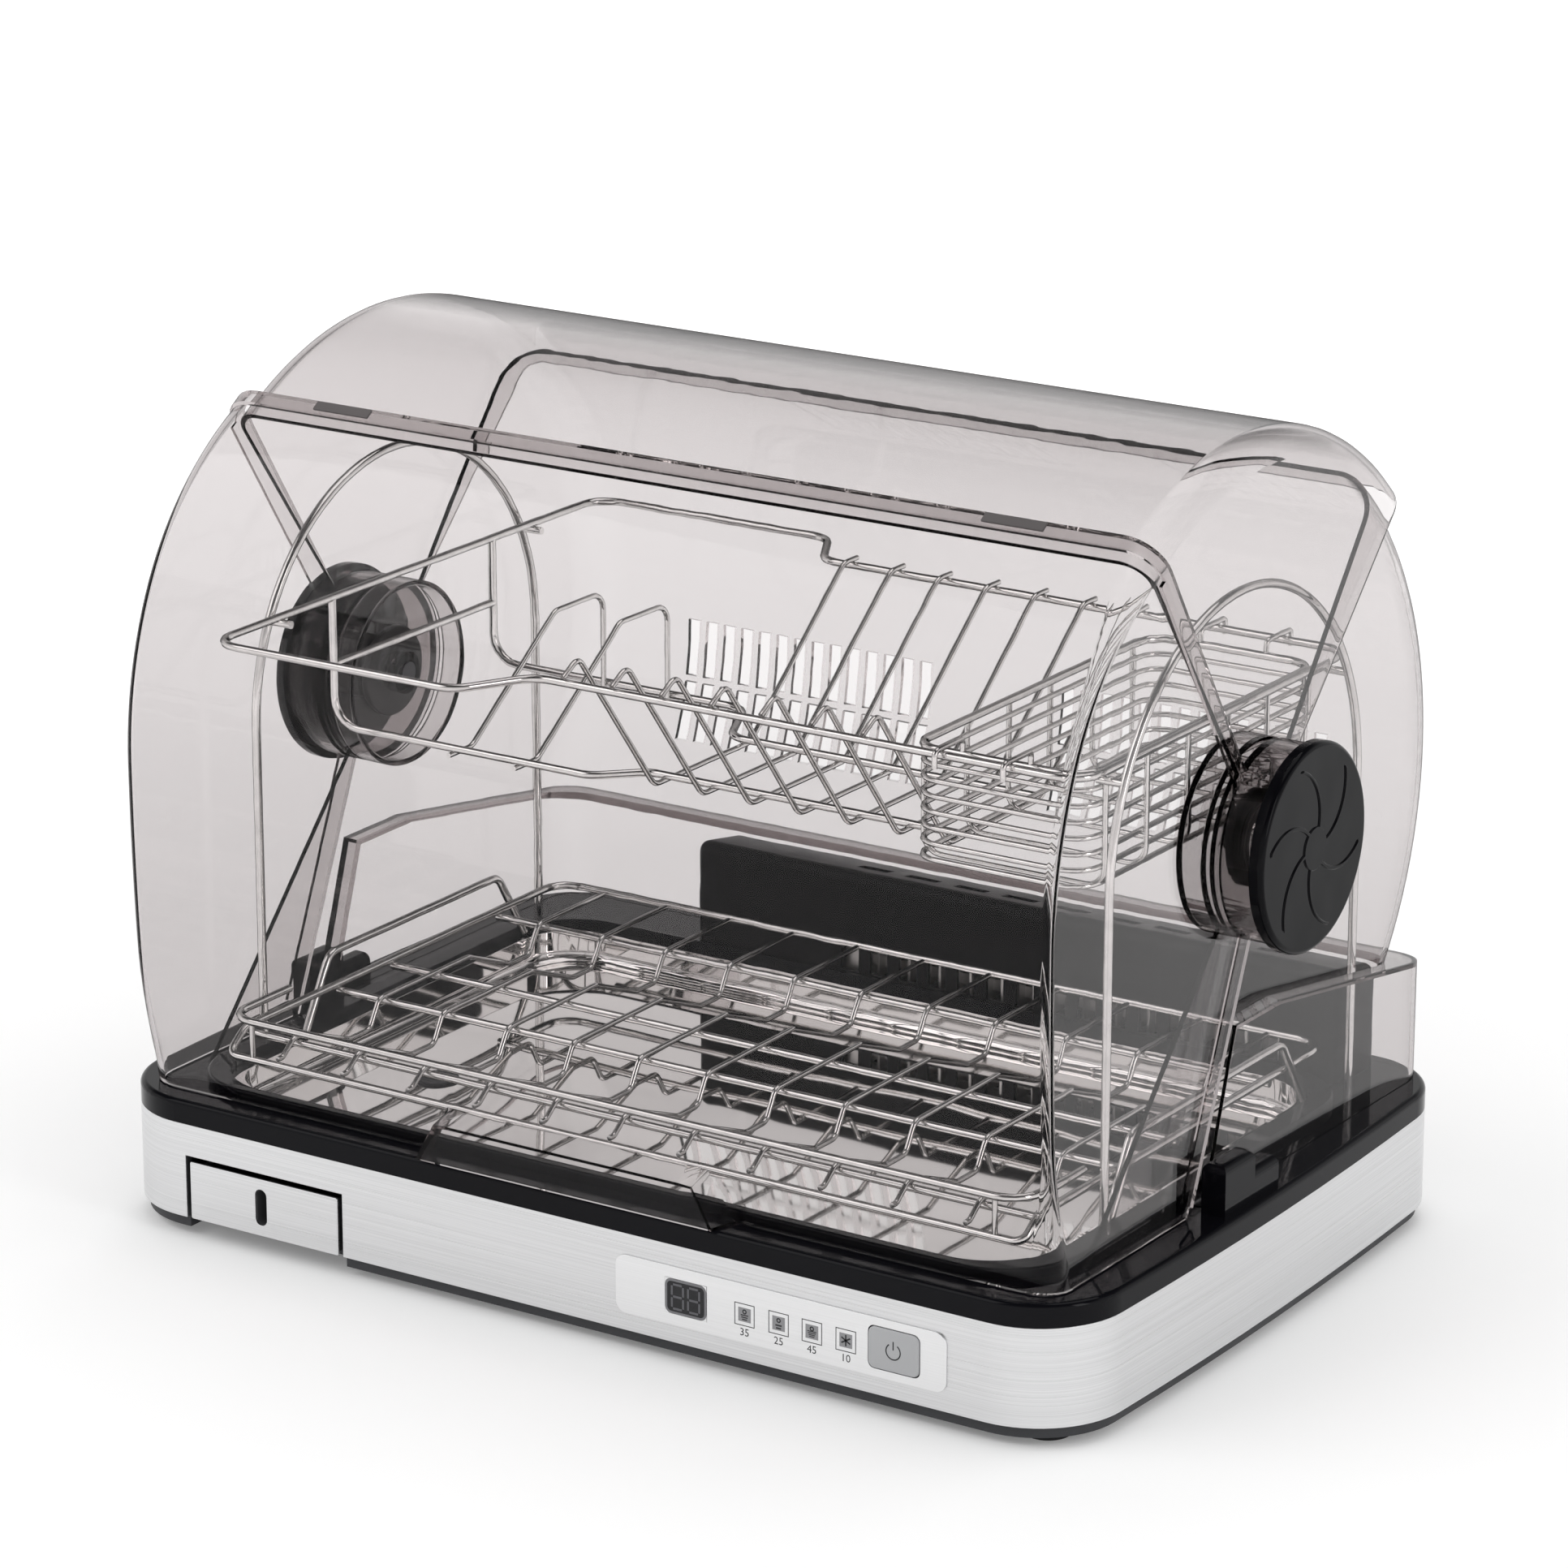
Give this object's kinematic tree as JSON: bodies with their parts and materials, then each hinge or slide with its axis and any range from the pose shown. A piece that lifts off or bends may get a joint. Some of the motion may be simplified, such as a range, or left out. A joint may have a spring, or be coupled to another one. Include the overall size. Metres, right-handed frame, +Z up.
{
  "type": "dish dryer",
  "caption": "Table-top dish dryer: smoky clear covers turning on side hubs over wire racks, on a steel-clad base with a drip tray, pull-out water drawer, control panel and fan heater.",
  "frame": {"origin": "centre of the bounding box on the plane under the feet", "axes": "+X to the right along the hub axis, +Y to the rear, +Z up; the front faces -Y"},
  "size_m": [0.4904, 0.3375, 0.37],
  "materials": {
    "smoky_clear": "clear smoky grey, polished",
    "gloss_black": "polished black",
    "brushed_steel": "brushed along the length",
    "polished_steel": "mirror-polished sheet",
    "wire_steel": "bright drawn wire",
    "dark_plastic": "fine satin",
    "drawer_plastic": "satin",
    "panel_silver": "bright brushed plate",
    "display_black": "dark tinted window",
    "button_grey": "satin grey",
    "board_green": "printed board",
    "foot_rubber": "matte",
    "pad_rubber": "matte",
    "screw_steel": "plain steel",
    "housing_black": "semi-gloss black",
    "fan_metal": "plain",
    "motor_grey": "plain",
    "heater_metal": "plain fins"
  },
  "bodies": {
    "base": {"base_pan": "dark_plastic", "steel_band": "brushed_steel", "feet": "foot_rubber", "rim_frame": "gloss_black", "base_screws": "screw_steel", "drip_tray": "polished_steel", "drain_spout": "dark_plastic", "control_panel": "panel_silver", "display_window": "display_black", "display_module": "display_black", "push_switch": "dark_plastic", "control_board": "board_green", "cord_gland": "dark_plastic", "rear_cover": "smoky_clear", "pivot_right": "dark_plastic", "pivot_left": "dark_plastic", "hub_cap_right": "gloss_black", "hub_cap_left": "gloss_black", "hub_cup_right": "smoky_clear", "hub_cup_left": "smoky_clear", "hub_screws": "screw_steel", "rim_clip_right": "gloss_black", "rim_clip_left": "gloss_black", "arch_right": "wire_steel", "arch_left": "wire_steel", "upper_rack": "wire_steel", "rack_dividers": "wire_steel", "cutlery_basket": "wire_steel", "lower_rack": "wire_steel", "rack_bars": "wire_steel", "blower_housing": "housing_black", "fan_motor": "motor_grey", "fan_bearing": "fan_metal", "heater": "heater_metal", "thermal_cutout": "dark_plastic"},
    "front_cover": {"front_cover": "smoky_clear", "bumper_left": "pad_rubber", "bumper_right": "pad_rubber"},
    "top_cover": {"top_cover": "smoky_clear"},
    "water_drawer": {"water_drawer": "drawer_plastic", "drawer_front": "brushed_steel", "finger_insert": "gloss_black"},
    "power_button": {"power_button": "button_grey"},
    "fan_wheel": {"fan_wheel": "fan_metal"}
  },
  "joints": [
    {"name": "front_cover_hinge", "type": "hinge", "parent": "base", "child": "front_cover", "pos_m": [0, 0.00775, 0.204], "axis": [-1, 0, 0], "range_deg": [0, 112]},
    {"name": "top_cover_hinge", "type": "hinge", "parent": "base", "child": "top_cover", "pos_m": [0, 0.00775, 0.204], "axis": [-1, 0, 0], "range_deg": [0, 74]},
    {"name": "drawer_slide", "type": "slide", "parent": "base", "child": "water_drawer", "axis": [0, -1, 0], "range_m": [0, 0.1]},
    {"name": "button_press", "type": "slide", "parent": "base", "child": "power_button", "axis": [0, 1, 0], "range_m": [0, 0.0008], "stiffness_N_per_m": 1500},
    {"name": "fan_spin", "type": "hinge", "parent": "base", "child": "fan_wheel", "pos_m": [0, 0.13235, 0.092], "axis": [1, 0, 0], "continuous": true}
  ]
}
